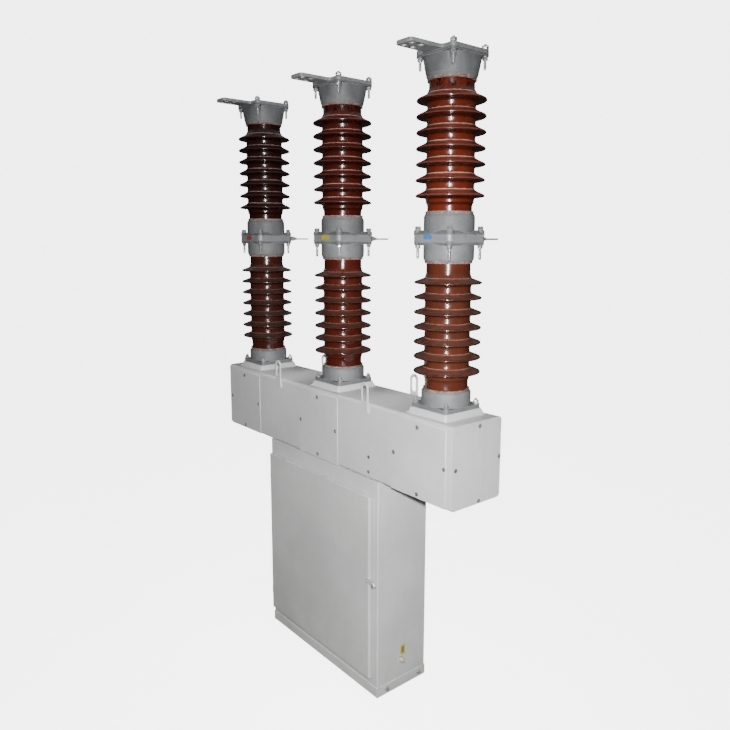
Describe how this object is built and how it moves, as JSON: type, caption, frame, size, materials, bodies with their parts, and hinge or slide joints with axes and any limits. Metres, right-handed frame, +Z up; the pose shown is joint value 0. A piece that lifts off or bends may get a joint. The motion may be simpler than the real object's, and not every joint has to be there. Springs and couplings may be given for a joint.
{
  "type": "outdoor vacuum circuit breaker",
  "caption": "Three-pole outdoor vacuum circuit breaker: shedded porcelain columns with terminals on a sheet-metal beam above a mechanism cabinet with a hinged door.",
  "frame": {"origin": "on the floor under the middle pole, the centre of the box's bottom", "axes": "+Z up, X along the row of poles, -Y towards the cabinet door"},
  "size_m": [1.766, 0.524, 2.823],
  "materials": {
    "light_grey_paint": "light grey powder coat, semi-gloss, faint dust towards the bottom",
    "plinth_paint": "grey paint, slightly darker and dusty",
    "seat_paint": "grey paint over welded seats",
    "lug_paint": "grey paint, worn bright at the slot edges",
    "grey_casting": "blue-grey paint over a fine sand-cast surface",
    "terminal_metal": "blue-grey paint on flat plate, machined pads",
    "brown_glaze": "reddish-brown glaze, high gloss, thinner and paler on shed rims",
    "cement": "pinkish-grey Portland cement, matt",
    "zinc_plated_steel": "zinc plated, satin",
    "brass_fitting": "dull",
    "yellow_plate": "plain yellow enamel"
  },
  "bodies": {
    "body": {"cabinet_plinth": "plinth_paint", "cabinet_floor": "plinth_paint", "cabinet_side_left": "light_grey_paint", "cabinet_side_right": "light_grey_paint", "cabinet_back": "light_grey_paint", "cabinet_top": "light_grey_paint", "cabinet_front_frame": "light_grey_paint", "door_hinges": "zinc_plated_steel", "latch_keeper": "zinc_plated_steel", "earth_terminal": "brass_fitting", "earth_marker_plate": "yellow_plate", "beam_housing": "light_grey_paint", "beam_end_covers": "light_grey_paint", "beam_front_covers": "light_grey_paint", "front_lifting_lugs": "lug_paint", "rear_lifting_lugs": "lug_paint", "pole_seats": "seat_paint", "base_casting_a": "grey_casting", "lower_porcelain_a": "brown_glaze", "mid_lower_casting_a": "grey_casting", "mid_terminal_a": "terminal_metal", "mid_upper_casting_a": "grey_casting", "upper_porcelain_a": "brown_glaze", "top_casting_a": "grey_casting", "top_terminal_a": "terminal_metal", "base_casting_b": "grey_casting", "lower_porcelain_b": "brown_glaze", "mid_lower_casting_b": "grey_casting", "mid_terminal_b": "terminal_metal", "mid_upper_casting_b": "grey_casting", "upper_porcelain_b": "brown_glaze", "top_casting_b": "grey_casting", "top_terminal_b": "terminal_metal", "base_casting_c": "grey_casting", "lower_porcelain_c": "brown_glaze", "mid_lower_casting_c": "grey_casting", "mid_terminal_c": "terminal_metal", "mid_upper_casting_c": "grey_casting", "upper_porcelain_c": "brown_glaze", "top_casting_c": "grey_casting", "top_terminal_c": "terminal_metal", "cement_joints": "cement"},
    "door": {"cabinet_door": "light_grey_paint", "door_latch": "zinc_plated_steel"}
  },
  "joints": [
    {"name": "door_hinge", "type": "hinge", "parent": "body", "child": "door", "pos_m": [-0.427, -0.164, 0.528], "axis": [0, 0, -1], "range_deg": [0, 110]}
  ]
}
